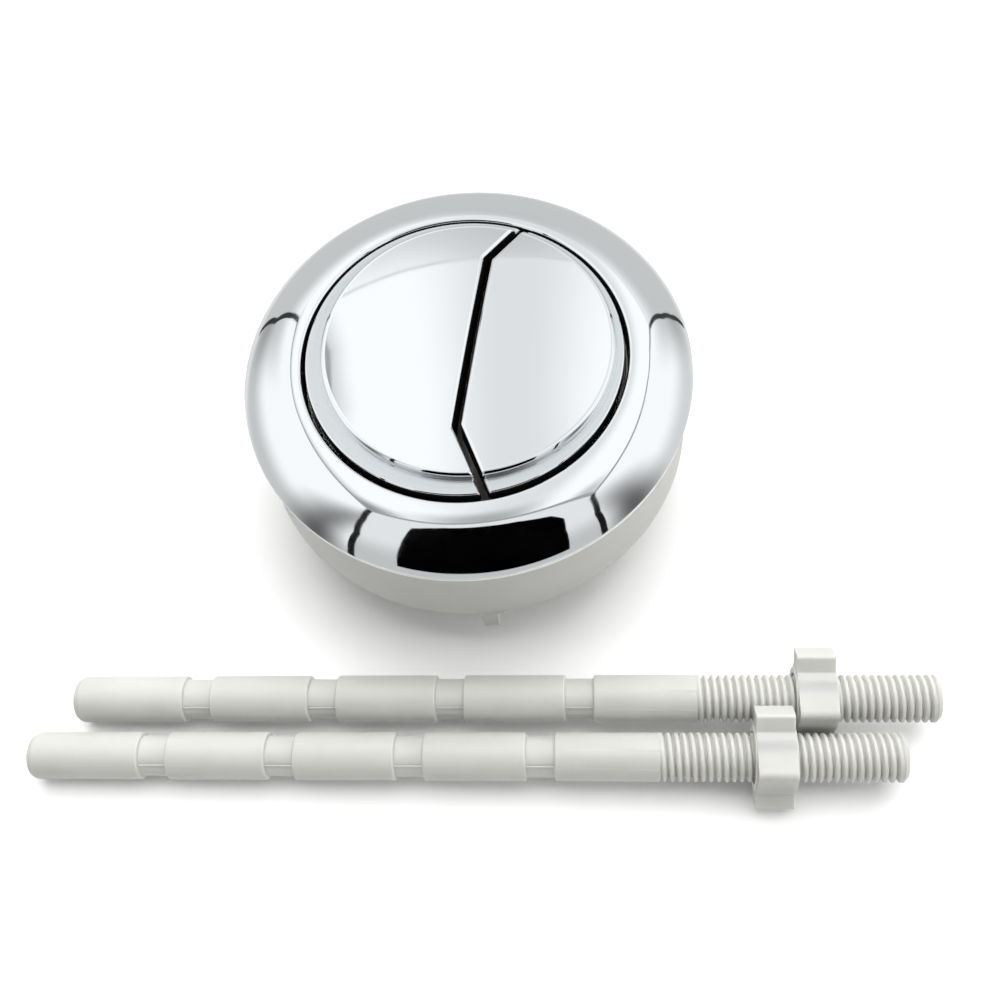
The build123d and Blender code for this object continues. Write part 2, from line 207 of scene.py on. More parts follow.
class RodSizes(bpy.types.PropertyGroup):
    """White push rods and their eared nuts."""
    radius: length("Rod radius", 3.95, "Radius of a segment and of the thread's crest")
    neck: length("Neck radius", 3.35, "Radius of a snap-off neck")
    neck_length: length("Neck length", 4.85, "Length of a neck")
    necks: IntProperty(name="Necks", description="Snap-off necks on each rod", default=4, min=0)
    segment: length("Segment length", 16.9, "Length between two necks")
    tip: length("Tip length", 19.5, "Length of the first segment")
    tip_round: length("Tip round", 1.3, "Rounding of the plain end")
    edge_round: length("Edge round", 0.3, "Rounding of a segment's ends")
    thread: length("Thread length", 39.5, "Length of the threaded end")
    pitch: length("Pitch", 1.25, "Spacing of the thread")
    depth: length("Thread depth", 0.72, "Depth of the thread")
    seam: turn("Seam", 132.0, "Bearing of the mould seam round the rod")
    seam_width: length("Seam width", 0.34, "Width of the mould seam")
    seam_rise: length("Seam rise", 0.22, "Height of the mould seam above the neck")
    nut_half: length("Nut half width", 5.4, "Half the width of the square nut")
    nut_corner: length("Nut corner", 1.1, "Rounding of the nut's ridges")
    nut_thickness: length("Nut thickness", 6.2, "Thickness of the nut along the rod")
    ear_span: length("Ear span", 16.58, "Length across both ears")
    ear: length("Ear thickness", 4.4, "Thickness of an ear")
    ear_tilt: turn("Ear tilt", 40.0, "Slope of the ears with the nut on the floor")
    hub: length("Hub radius", 5.3, "Radius of the nut's round hub")
    bore: length("Bore", 4.25, "Radius of the nut's bore")


class Finishes(bpy.types.PropertyGroup):
    """Colours of the pieces and of the floor."""
    chrome: colour("Chrome", "#F1F4F6", "Bright chrome plating")
    satin: colour("Satin chrome", "#DCE1E4", "Satin band round the caps")
    # Near black colour of the walls in the slot and the gap: painted shade.
    shade_black: colour("Painted gap shade", "#0E0E0F", "Painted shade on the walls inside the slot and the gap")
    plastic: colour("White plastic", "#C3C3BF", "Moulded white plastic")
    foam: colour("Foam", "#F0F0EC", "Sealing washer")
    steel: colour("Steel", "#A9ABAD", "Spring wire and clips")
    floor: colour("Floor", "#FBFBFB", "Paper sweep")


# Finishes

def add_node(tree, kind, inputs=(), **settings):
    """Adds a shader node. An input takes a value, an output, or a node for that node's first output."""
    node = tree.nodes.new("ShaderNode" + kind)
    for name, value in settings.items():
        setattr(node, name, value)
    for name, value in dict(inputs).items():
        if isinstance(value, bpy.types.Node):
            value = value.outputs[0]
        if isinstance(value, bpy.types.NodeSocket):
            tree.links.new(value, node.inputs[name])
        else:
            node.inputs[name].default_value = value
    return node


def finish(name, build, shader="BsdfPrincipled"):
    """The material of that name. Its function gives its shader's inputs the first time it is asked for."""
    found = bpy.data.materials.get(name)
    if found:
        return found
    material = bpy.data.materials.new(name)
    material.use_nodes = True
    tree = material.node_tree
    tree.nodes.clear()
    surface = add_node(tree, shader, build(tree, bpy.context.scene.actuator_finishes))
    add_node(tree, "OutputMaterial", {"Surface": surface})
    return material


def mottle(tree, size, *ranges, detail=3.0):
    """Soft noise with blotches of about that size in metres, plain and then spread over each range."""
    usual_low, usual_high = 0.3, 0.7
    place = add_node(tree, "TexCoord").outputs["Object"]
    noise = add_node(tree, "TexNoise", {"Vector": place, "Scale": 1 / size, "Detail": detail})
    spread = [add_node(tree, "MapRange", {"Value": noise, "From Min": usual_low, "From Max": usual_high,
                                          "To Min": low, "To Max": high}) for low, high in ranges]
    return [noise, *spread]


def chrome_plate(tree, finishes):
    """Bright chrome on moulded ABS, made by electroplating."""
    # The plating is a near mirror. The moulding under it is never quite true, which bends
    # reflections a little over several millimetres, and wiping leaves it hazier in places.
    [sway] = mottle(tree, 14 * MM, detail=1.0)
    _, haze = mottle(tree, 5 * MM, (0.025, 0.06))
    bump = add_node(tree, "Bump", {"Height": sway, "Strength": 0.02, "Distance": 1 * MM})
    return {"Base Color": finishes.chrome, "Metallic": 1.0, "Roughness": haze, "Normal": bump}


def satin_chrome(tree, finishes):
    """Satin chrome on moulded ABS, etched before plating."""
    # The etched band round the caps blurs what it mirrors to an even cool grey, with a fine speckle.
    speckle, blur = mottle(tree, 0.4 * MM, (0.3, 0.4), detail=2.0)
    bump = add_node(tree, "Bump", {"Height": speckle, "Strength": 0.05, "Distance": 0.02 * MM})
    return {"Base Color": finishes.satin, "Metallic": 1.0, "Roughness": blur, "Normal": bump}


def gap_shade_finish(tree, finishes):
    """Near black, dull walls of the slot and the gap: painted shade of these deep, narrow gaps."""
    # Painted shade: the walls deep in the narrow gaps are coloured nearly black and dull, and a little
    # uneven from place to place.
    _, patches, dullness = mottle(tree, 3 * MM, (0.8, 1.3), (0.6, 0.8))
    shade = add_node(tree, "HueSaturation", {"Color": finishes.shade_black, "Value": patches})
    return {"Base Color": shade, "Specular IOR Level": 0.25, "Roughness": dullness}


def white_plastic(tree, finishes):
    """White polypropylene, injection moulded."""
    # A satin, faintly waxy skin: soft broad highlights, a whiteness and gloss that wander slightly
    # from place to place, and the fine grain of a spark-eroded mould.
    _, tint, dullness = mottle(tree, 6 * MM, (0.975, 1.015), (0.38, 0.5))
    [grain] = mottle(tree, 0.25 * MM, detail=2.0)
    pale = add_node(tree, "HueSaturation", {"Color": finishes.plastic, "Value": tint})
    bump = add_node(tree, "Bump", {"Height": grain, "Strength": 0.12, "Distance": 0.05 * MM})
    return {"Base Color": pale, "IOR": 1.49, "Roughness": dullness, "Normal": bump,
            "Subsurface Weight": 0.6, "Subsurface Radius": (1.0, 0.95, 0.85),
            "Subsurface Scale": 1.2 * MM}


def foam_seal(tree, finishes):
    """Closed-cell EVA foam, die cut from sheet."""
    # Dead matt, with a fine cell structure that shows as tiny hollows, whose bottoms are coloured slightly
    # darker: painted shade.
    place = add_node(tree, "TexCoord").outputs["Object"]
    cells = add_node(tree, "TexVoronoi", {"Vector": place, "Scale": 1 / (0.35 * MM)})
    bump = add_node(tree, "Bump", {"Height": cells, "Strength": 0.3, "Distance": 0.05 * MM})
    # Painted shade: the colour is up to 5% darker at the bottoms of the hollows.
    pit_shade = add_node(tree, "MapRange", {
        "Value": cells, "From Min": 0.3, "From Max": 0.7, "To Min": 0.95, "To Max": 1.0})
    shade = add_node(tree, "HueSaturation", {"Color": finishes.foam, "Value": pit_shade})
    return {"Base Color": shade, "Roughness": 0.85, "Normal": bump}


def spring_steel(tree, finishes):
    """Stainless spring wire, cold drawn."""
    # Bright grey metal with faint drawing marks that break up the highlight.
    _, marks = mottle(tree, 0.4 * MM, (0.22, 0.38))
    return {"Base Color": finishes.steel, "Metallic": 1.0, "Roughness": marks}


def paper_sweep(tree, finishes):
    """Matt white background paper."""
    # Even and matt, with the slightest cloudiness of the paper's fibres.
    _, clouds = mottle(tree, 30 * MM, (0.99, 1.0))
    shade = add_node(tree, "HueSaturation", {"Color": finishes.floor, "Value": clouds})
    return {"Base Color": shade, "Roughness": 0.9, "Specular IOR Level": 0.2}


SLOTS = {
    "chrome_plate": ("Chrome-plated ABS", chrome_plate),
    "satin_band": ("Satin chrome on ABS", satin_chrome),
    # Near black walls in the slot and the gap: painted shade.
    "painted_shade_wall": ("Painted gap shade", gap_shade_finish),
    "white_plastic": ("White polypropylene", white_plastic),
    "foam_seal": ("EVA foam", foam_seal),
    "spring_steel": ("Drawn spring steel", spring_steel),
}


# Mesh helpers

def rounded(points, radius, steps=4, closed=False):
    """A flat outline with its corners as arcs, each of which takes less than half its shorter side."""
    most = 0.49
    points = [Vector(p) for p in points]
    radii = list(radius) if hasattr(radius, "__iter__") else [radius] * len(points)
    out = []
    for i, corner in enumerate(points):
        before, after = points[i - 1] - corner, points[(i + 1) % len(points)] - corner
        if radii[i] <= 0 or (not closed and i in (0, len(points) - 1)):
            out.append(corner)
            continue
        half = before.angle(after) / 2
        cut = min(radii[i] / tan(half), most * min(before.length, after.length))
        inward = (before.normalized() + after.normalized()).normalized()
        centre = corner + inward * cut / cos(half)
        start = corner + before.normalized() * cut - centre
        end = corner + after.normalized() * cut - centre
        sweep = start.angle_signed(end)
        out += [centre + Matrix.Rotation(-sweep * k / steps, 2) @ start for k in range(steps + 1)]
    return out


def arc(centre, radius, start, end, steps):
    """Points on an arc, with angles in degrees."""
    angles = [radians(start + (end - start) * k / steps) for k in range(steps + 1)]
    return [(centre[0] + radius * cos(a), centre[1] + radius * sin(a)) for a in angles]


def grid(bm, rows, wrap=True):
    """Faces between rows of points. A row of one point closes to a fan."""
    lines = [[bm.verts.new(p) for p in row] for row in rows]
    for low, high in zip(lines, lines[1:]):
        count = max(len(low), len(high))
        for i in range(count if wrap else count - 1):
            j = (i + 1) % count
            corners = [low[i % len(low)], low[j % len(low)], high[j % len(high)], high[i % len(high)]]
            bm.faces.new(list(dict.fromkeys(corners)))


def circle(radius, height, steps, centre=(0.0, 0.0)):
    """Points round an upright axis."""
    angles = [2 * pi * k / steps for k in range(steps)]
    return [(centre[0] + radius * cos(a), centre[1] + radius * sin(a), height) for a in angles]


def polar(radius, bearing):
    """Point of the plan at a distance and in a direction from the middle."""
    return radius * Vector((cos(bearing), sin(bearing)))


def lathe(bm, profile, steps, centre=(0.0, 0.0), closed=False):
    """Surface turned about an upright axis from points given as radius and height."""
    rows = [circle(radius, height, steps if radius > MERGE else 1, centre) for radius, height in profile]
    grid(bm, rows + rows[:1] if closed else rows)


def screw(bm, radius, depth, pitch, low, high, steps, runout):
    """Turned surface with a right-hand thread cut into it, which fades out towards both ends."""
    per_pitch = 16
    count = ceil((high - low) / pitch * per_pitch)
    rows = []
    for k in range(count + 1):
        height = low + (high - low) * k / count
        fade = min(1.0, (height - low) / runout, (high - height) / runout)
        row = []
        for i in range(steps):
            swing = cos(2 * pi * (height / pitch - i / steps))
            cut = depth * fade * (0.5 - 0.5 * swing) ** 2
            a = 2 * pi * i / steps
            row.append(((radius - cut) * cos(a), (radius - cut) * sin(a), height))
        rows.append(row)
    grid(bm, rows)


def prism(bm, outline, low, high):
    """Solid between two copies of an outline, placed by the functions low and high."""
    bottom, top = [bm.verts.new(low(p)) for p in outline], [bm.verts.new(high(p)) for p in outline]
    count = len(outline)
    for i in range(count):
        bm.faces.new((bottom[i], bottom[(i + 1) % count], top[(i + 1) % count], top[i]))
    bm.faces.new(list(reversed(bottom)))
    bm.faces.new(top)


def upright(bm, outline, low, high, bearing=0.0):
    """Solid between two heights, with its outline turned about the upright axis."""
    place = Matrix.Rotation(bearing, 3, "Z")
    prism(bm, outline, lambda p: place @ Vector((*p, low)), lambda p: place @ Vector((*p, high)))


def fill(bm, *loops):
    """Flat face inside the first loop of points and outside the others."""
    edges = []
    for loop in loops:
        verts = [bm.verts.new(p) for p in loop]
        edges += [bm.edges.new((verts[i - 1], verts[i])) for i in range(len(verts))]
    bmesh.ops.triangle_fill(bm, use_beauty=True, edges=edges)


def clean(bm):
    """Joins points that meet and turns all faces outwards."""
    bmesh.ops.remove_doubles(bm, verts=bm.verts, dist=MERGE)
    bmesh.ops.recalc_face_normals(bm, faces=bm.faces)


def new_mesh(name, bm):
    """Mesh that takes over what was built."""
    mesh = bpy.data.meshes.new(name)
    bm.to_mesh(mesh)
    bm.free()
    return mesh


def add_object(name, data):
    """Object of a mesh, lamp or camera, put in the scene."""
    obj = bpy.data.objects.new(name, data)
    bpy.context.scene.collection.objects.link(obj)
    return obj


def piece(name, bm, slot, body, node, place=None, bevel=0.0):
    """Object made from a mesh, with its finish, which rides on a body in place of a CAD node."""
    clean(bm)
    if place is not None:
        bm.transform(place)
    return dress(name, new_mesh(name, bm), slot, body, node, bevel=bevel)


def dress(name, mesh, slot, body, node, sharp=35.0, bevel=0.0):
    """Object of a finished mesh, smooth but for its sharp edges, which a bevel may round."""
    mesh.shade_smooth()
    mesh.set_sharp_from_angle(angle=radians(sharp))
    mesh.materials.append(finish(*SLOTS[slot]))
    obj = add_object(name, mesh)
    if bevel:
        edges = obj.modifiers.new("edge rounding", "BEVEL")
        edges.width, edges.segments, edges.limit_method = bevel, 2, "ANGLE"
        edges.angle_limit, edges.harden_normals = radians(40), True
    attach(obj, body)
    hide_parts(node)
    return obj


def repaint(obj, slot, chosen):
    """Gives another finish to the faces for which the function chosen is true."""
    obj.data.materials.append(finish(*SLOTS[slot]))
    for face in obj.data.polygons:
        if chosen(face):
            face.material_index = len(obj.data.materials) - 1


def keep(node, slot):
    """A CAD node whose own shape is shown, with its finish."""
    materials = frame["nodes"][node].data.materials
    materials.clear()
    materials.append(finish(*SLOTS[slot]))


def rod_place(node, along):
    """Middle of a rod or rod nut, with X level, Y upwards and Z along the rod."""
    level = Vector((0, 0, 1)).cross(along).normalized()
    directions = (level, along.cross(level), along.normalized())
    points = [v.co for v in frame["nodes"][node].data.vertices]
    middle = Vector((0, 0, 0))
    for direction in directions:
        places = [p.dot(direction) for p in points]
        middle += direction * (min(places) + max(places)) / 2
    return Matrix.Translation(middle) @ Matrix(directions).transposed().to_4x4()


def reach(node, place):
    """Lowest and highest point of a CAD node along Z of a placing."""
    heights = [(place.inverted() @ v.co).z for v in frame["nodes"][node].data.vertices]
    return min(heights), max(heights)


# Bezel and washer

class ACTUATOR_OT_bezel(bpy.types.Operator):
    """Turns the chromed bezel and the foam washer under it"""
    bl_idname = "actuator.bezel"
    bl_label = "Bezel and washer"

    corner_round = 0.2 * MM

    def execute(self, context):
        s = context.scene.actuator_bezel
        edge, lip_in, foot = s.seat + s.edge, s.lip + s.lip_round, s.lip + s.wall
        span, drop = s.rim - lip_in, s.crown - edge
        ball = (span**2 + drop**2) / (2 * drop)
        centre, inner = (lip_in, s.crown - ball), ball - s.wall
        dome = arc(centre, ball, degrees(acos(span / ball)), 90, steps=48)
        lip = arc((lip_in, s.crown - s.lip_round), s.lip_round, 90, 180, steps=8)
        hollow = arc(centre, inner, degrees(acos((foot - lip_in) / inner)),
                     degrees(asin((s.seat - centre[1]) / inner)), steps=24)
        rim = rounded([hollow[-1], (s.rim, s.seat), (s.rim, edge), dome[1]], self.corner_round)
        bm = bmesh.new()
        lathe(bm, rim[1:-1] + dome[1:] + lip[1:] + [(s.lip, s.inner_foot), (foot, s.inner_foot)] + hollow,
              steps=320, closed=True)
        obj = piece("bezel", bm, "chrome_plate", "base", "bezel_ring")
        # The bezel's inner wall below the lip is coloured near black: painted shade in the gap round the
        # caps.
        wall_top = s.crown - s.lip_round
        repaint(obj, "painted_shade_wall", lambda face: face.center.xy.length < foot and face.center.z < wall_top)
        low, high = WASHER_LOW.z, s.washer_top
        corners = [(s.washer_bore, low), (s.washer, low), (s.washer, high), (s.washer_bore, high)]
        bm = bmesh.new()
        lathe(bm, rounded(corners, self.corner_round, closed=True), steps=256, closed=True)
        piece("washer", bm, "foam_seal", "base", "sealing_washer")
        return {"FINISHED"}


# Caps

class CapSurface:
    """Top of both caps over the plan: a dome, rings from its edge to the caps' edge, and a rounded slot."""

    # Lines of points run beside the slot at these parts of its edges' rounding, and rings of points
    # cover the rest of the dome
    shares = (0.0, 0.12, 0.35, 0.65, 1.0, 1.4, 2.2, 4.0)
    clear_share = 4.8
    ring_step, slot_step, grid_step = 0.3 * MM, 0.45 * MM, 0.8 * MM
    steepest_ring, steepest_edge = tan(radians(86)), 12.0

    def __init__(self, s):
        self.s = s
        self.middle = Vector((s.dome_x, s.dome_y))
        span, rise = s.dome - s.dome_round, s.crown - s.dome_edge
        self.ball = (span**2 + rise**2) / (2 * rise)
        inner = [span - k * self.ring_step for k in (2, 1)]
        self.rings = [(self.middle, r, *self.on_dome(r)) for r in inner]
        self.rings += self.shoulder_rings() + self.band_rings()
        rear, front = Vector((s.slot_x, s.rear_bend)), Vector((s.slot_x, -s.front_bend))
        rear_end, front_end = polar(s.radius, s.rear_end), polar(s.radius, s.front_end)
        self.bends = (rear, front)
        self.runs = [(rear - rear_end).normalized(), (front - rear).normalized(),
                     (front_end - front).normalized()]
        self.sides = [Vector((-run.y, run.x)) for run in self.runs]
        self.anchors = (rear, rear, front)

    def on_dome(self, r):
        """Height and slope of the dome at a distance from its middle."""
        return self.s.crown - self.ball + sqrt(self.ball**2 - r * r), atan2(r, sqrt(self.ball**2 - r * r))

    def shoulder_rings(self):
        """Middle, radius, height and slope of the rings over the dome's rounded edge."""
        s, steps = self.s, 8
        slopes = [(pi / 2 - s.draft) * k / steps for k in range(steps + 1)]
        return [(self.middle, s.dome - s.dome_round * (1 - sin(slope)),
                 s.dome_edge - s.dome_round * (1 - cos(slope)), slope) for slope in slopes]

    def band_rings(self):
        """The same for the hollow corner below the dome's side, the band and the caps' rounded edge."""
        s, steps = self.s, 7
        low, top = s.edge + s.band_rise, s.dome_edge - s.dome_round
        cove_out = s.dome + (top - low) * tan(s.draft) + s.cove
        slopes = [(pi / 2 - s.draft) * (1 - k / steps) for k in range(steps + 1)]
        rings = [(self.middle, cove_out - s.cove * sin(slope), low + s.cove * (1 - cos(slope)), slope)
                 for slope in slopes]
        edge_in = s.radius - s.edge_round
        lean = atan2(s.band_rise, edge_in - cove_out)
        rings.append((self.middle / 2, (cove_out + edge_in) / 2, (low + s.edge) / 2, lean))
        slopes = [pi / 2 * k / steps for k in range(steps + 1)]
        return rings + [(Vector((0, 0)), edge_in + s.edge_round * sin(slope),
                         s.edge - s.edge_round * (1 - cos(slope)), slope) for slope in slopes]

    def inside(self, side, p):
        """Distance of a point from one cap's edge along the slot, and the way that leads away from it."""
        gaps = [(p - anchor).dot(across) for anchor, across in zip(self.anchors, self.sides)]
        nearest = min(range(3), key=gaps.__getitem__)
        return side * gaps[nearest] - self.s.slot / 2, side * self.sides[nearest]

    def at(self, side, p, ring=None):
        """Point and normal of the surface over a point of the plan, on a ring or else on the dome."""
        centre, _, height, slope = ring or (self.middle, 0.0, *self.on_dome((p - self.middle).length))
        lean = (p - centre).normalized() * min(tan(slope), self.steepest_ring)
        d, away = self.inside(side, p)
        rounding = self.s.slot_round
        if d < rounding:
            inset = rounding - max(d, 0.0)
            drop = sqrt(max(rounding**2 - inset**2, 0.0))
            height -= rounding - drop
            lean -= away * min(inset / max(drop, MERGE), self.steepest_edge)
        return Vector((p.x, p.y, height)), Vector((lean.x, lean.y, 1.0)).normalized()

    def corners(self, side, away):
        """Bends of a line along one cap's edge of the slot, at a distance from that edge."""
        shift = side * (self.s.slot / 2 + away)
        pairs = zip(self.bends, self.sides, self.sides[1:])
        return [bend + (one + two) * shift / (1 + one.dot(two)) for bend, one, two in pairs]

    def ends(self, side, away, centre, radius):
        """Where such a line meets a circle, at the rear and in front."""
        rear, front = self.corners(side, away)
        return (self.leave(rear, -self.runs[0], centre, radius),
                self.leave(front, self.runs[2], centre, radius))

    def leave(self, start, run, centre, radius):
        """Where a line from a point inside a circle leaves it."""
        inside = start - centre
        b = inside.dot(run)
        return start + run * (sqrt(b * b - inside.length_squared + radius**2) - b)

    def slot_line(self, side, away, centre, radius):
        """Points along such a line, from the circle at the rear to the circle in front."""
        rear_end, front_end = self.ends(side, away, centre, radius)
        stops = [rear_end, *self.corners(side, away), front_end]
        out = []
        for start, end in zip(stops, stops[1:]):
            count = max(1, round((end - start).length / self.slot_step))
            out += [start.lerp(end, k / count) for k in range(count)]
        return out + [front_end]

    def across(self, side, centre, radius, shares, count):
        """Points of one cap on a circle, from its front end to its rear, closer beside the slot."""
        pairs = [self.ends(side, share * self.s.slot_round, centre, radius) for share in shares]
        rear, front = [pair[0] for pair in pairs], [pair[1] for pair in pairs]
        start, end = (atan2(p.y - centre.y, p.x - centre.x) for p in (front[-1], rear[-1]))
        sweep = (end - start) % (2 * pi) if side > 0 else -((start - end) % (2 * pi))
        between = [centre + polar(radius, start + sweep * k / count) for k in range(1, count)]
        return front + between + rear[::-1]


def cap_mesh(name, s, side):
    """One cap: rounded top, walls along its edge and the slot, and a hollow below for the plunger."""
    surface = CapSurface(s)
    rings, shares = surface.rings, surface.shares
    rows = [surface.across(side, centre, radius, shares, count=190) for centre, radius, _, _ in rings]
    count, last = len(rows[0]), len(rows) - 1
    placed = [surface.at(side, p, ring) for ring, row in zip(rings, rows) for p in row]
    corners = ((0, 0), (0, 1), (1, 1), (1, 0))[::-side]
    starts = [k * count + i for k in range(last) for i in range(count - 1)]
    tops = [[start + up * count + on for up, on in corners] for start in starts]
    line = surface.slot_line(side, 0.0, *rings[0][:2])[1:-1]
    flat, faces = cap_middle(surface, side, rows[0] + line)
    tops += [[len(placed) + i for i in face] for face in faces]
    placed += [surface.at(side, p) for p in flat]
    edge = [placed[last * count + i][0] for i in range(count)]
    edge += [placed[k * count + count - 1][0] for k in range(last - 1, -1, -1)]
    edge += [surface.at(side, p)[0] for p in line]
    edge += [placed[k * count][0] for k in range(last)]
    bm = bmesh.new()
    cap_walls(bm, s, surface, side, edge)
    clean(bm)
    bm.verts.index_update()
    verts = [p for p, _ in placed] + [v.co.copy() for v in bm.verts]
    walls = [[len(placed) + v.index for v in f.verts] for f in bm.faces]
    bm.free()
    mesh = bpy.data.meshes.new(name)
    mesh.from_pydata(verts, [], tops + walls)
    return mesh, [n for _, n in placed]


def cap_middle(surface, side, border):
    """Plan points and triangles of one cap inside its first ring, closer beside the slot."""
    shares, rounding, (middle, radius, _, _) = surface.shares, surface.s.slot_round, surface.rings[0]
    points = list(border)
    for share in shares[1:]:
        points += surface.slot_line(side, share * rounding, middle, radius)[1:-1]
    clear, count, fewest = surface.clear_share * rounding, 26, 10
    for k in range(1, count):
        r = radius * k / count
        around = max(fewest, ceil(2 * pi * r / surface.grid_step))
        ring = [middle + polar(r, 2 * pi * i / around) for i in range(around)]
        points += [p for p in ring if surface.inside(side, p)[0] > clear]
    inside_only, smallest = 1, 1e-9
    border_face = list(range(len(border)))
    flat, _, faces, *_ = delaunay_2d_cdt(points, [], [border_face], inside_only, smallest)
    return flat, faces


def cap_walls(bm, s, surface, side, edge):
    """Side walls of a cap down to its skirt, the skirt's lower edge and the hollow inside it."""
    low = [(p.x, p.y, s.skirt) for p in edge]
    centre, radius = Vector((0, 0)), s.radius - s.wall
    inner = surface.across(side, centre, radius, (s.wall / s.slot_round,), count=100)
    inner += surface.slot_line(side, s.wall, centre, radius)[1:-1]
    inner_low = [(p.x, p.y, s.skirt) for p in inner]
    inner_high = [(p.x, p.y, s.ceiling) for p in inner]
    grid(bm, [edge, low])
    grid(bm, [inner_low, inner_high])
    fill(bm, low, inner_low)
    fill(bm, inner_high)


class ACTUATOR_OT_caps(bpy.types.Operator):
    """Makes the two chromed caps"""
    bl_idname = "actuator.caps"
    bl_label = "Button caps"

    def execute(self, context):
        s = context.scene.actuator_caps
        middle, zero = Vector((s.dome_x, s.dome_y)), Vector((0, 0, 0))
        dome_out, band_out = s.dome + s.cove, s.radius - s.edge_round
        for body, side in (("full_flush", -1), ("half_flush", 1)):
            mesh, normals = cap_mesh(body + "_cap_shell", s, side)
            obj = dress(body + "_cap_shell", mesh, "chrome_plate", body, body + "_cap", sharp=40)
            first_wall = len(normals)
            corners = [loop.vertex_index for loop in obj.data.loops]
            obj.data.normals_split_custom_set([normals[i] if i < first_wall else zero for i in corners])
            repaint(obj, "satin_band", lambda face: face.center.xy.length < band_out
                    and (face.center.xy - middle).length > dome_out)
            # The caps' walls along the slot, round their edge and in the hollow below are coloured near
            # black: painted shade in the gaps.
            repaint(obj, "painted_shade_wall", lambda face: min(face.vertices) >= first_wall)
        return {"FINISHED"}


# Body, plungers and springs

class ACTUATOR_OT_body(bpy.types.Operator):
    """Makes the white button body with its threaded sleeve, its web and its guides"""
    bl_idname = "actuator.body"
    bl_label = "Button body"

    chamfer, overlap = 0.8 * MM, 0.1 * MM
    edge_round, guide_round = 0.25 * MM, 0.3 * MM
    steps, guide_steps = 192, 64

    def execute(self, context):
        s = context.scene.actuator_body
        thread_low, web_low, stems = s.foot + self.chamfer, s.web_top - s.web, (s.full_stem, s.half_stem)
        profile = [(s.sleeve, s.seat), (s.flange, s.seat), (s.flange, s.flange_top),
                   (s.counterbore, s.flange_top), (s.counterbore, s.ledge), (s.bore, s.ledge),
                   (s.bore, s.foot), (s.sleeve - self.chamfer, s.foot), (s.sleeve, thread_low)]
        bm = bmesh.new()
        lathe(bm, rounded(profile, self.edge_round), self.steps)
        screw(bm, s.sleeve, s.thread_depth, s.thread_pitch, thread_low, s.seat, self.steps, s.thread_pitch)
        for height in (s.web_top, web_low):
            fill(bm, circle(s.bore + self.overlap, height, self.steps),
                 *[circle(s.guide, height, self.guide_steps, (x, 0)) for x in stems])
        for x in stems:
            top, low = s.web_top + s.guide_rise, web_low - s.guide_drop
            tube = [(s.guide_bore, low), (s.guide, low), (s.guide, top), (s.guide_bore, top)]
            lathe(bm, rounded(tube, self.guide_round, closed=True), self.guide_steps, (x, 0), closed=True)
            for way in (-1, 1):
                self.rib(bm, s, x, way, web_low)
        piece("button_body_shell", bm, "white_plastic", "base", "button_body")
        return {"FINISHED"}

    def rib(self, bm, s, x, way, top):
        """Stiffening rib under the web, from a guide out to the sleeve."""
        start, end, half = way * s.clip_room, way * sqrt(s.bore**2 - x**2), s.rib / 2
        outline = [(x - half, start), (x + half, start), (x + half, end), (x - half, end)]
        upright(bm, outline, top - s.rib_drop, top)


class ACTUATOR_OT_plungers(bpy.types.Operator):
    """Gives the plungers and their clips their finishes"""
    bl_idname = "actuator.plungers"
    bl_label = "Plungers and clips"

    def execute(self, context):
        for name in ("full_flush", "half_flush"):
            keep(name + "_plunger", "white_plastic")
            keep(name + "_clip", "spring_steel")
        return {"FINISHED"}


class ACTUATOR_OT_springs(bpy.types.Operator):
    """Coils the return springs"""
    bl_idname = "actuator.springs"
    bl_label = "Return springs"

    turns = 6.5
    dead_turns = 0.75

    def execute(self, context):
        s = context.scene.actuator_body
        for name, x in (("full_flush", s.full_stem), ("half_flush", s.half_stem)):
            bm = bmesh.new()
            self.coil(bm, s, x)
            obj = piece(name + "_coil", bm, "spring_steel", "base", name + "_spring")
            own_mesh(obj)
        return {"FINISHED"}

    def coil(self, bm, s, x):
        """Round wire wound up the guide, with the first and last turns closed."""
        per_turn, around, half = 44, 12, s.wire / 2
        count = int(self.turns * per_turn)
        low, high = s.web_top + half, s.spring_top - half
        live = self.turns - 2 * self.dead_turns
        rows = []
        for k in range(count + 1):
            turned = self.turns * k / count
            share = min(max((turned - self.dead_turns) / live, 0.0), 1.0)
            a, height = 2 * pi * turned, low + (high - low) * share * share * (3 - 2 * share)
            ring = [2 * pi * i / around for i in range(around)]
            rows.append([(x + (s.coil + half * cos(b)) * cos(a), (s.coil + half * cos(b)) * sin(a),
                          height + half * sin(b)) for b in ring])
        grid(bm, rows)
        for row in (rows[0], rows[-1]):
            fill(bm, row)


# Lock nut

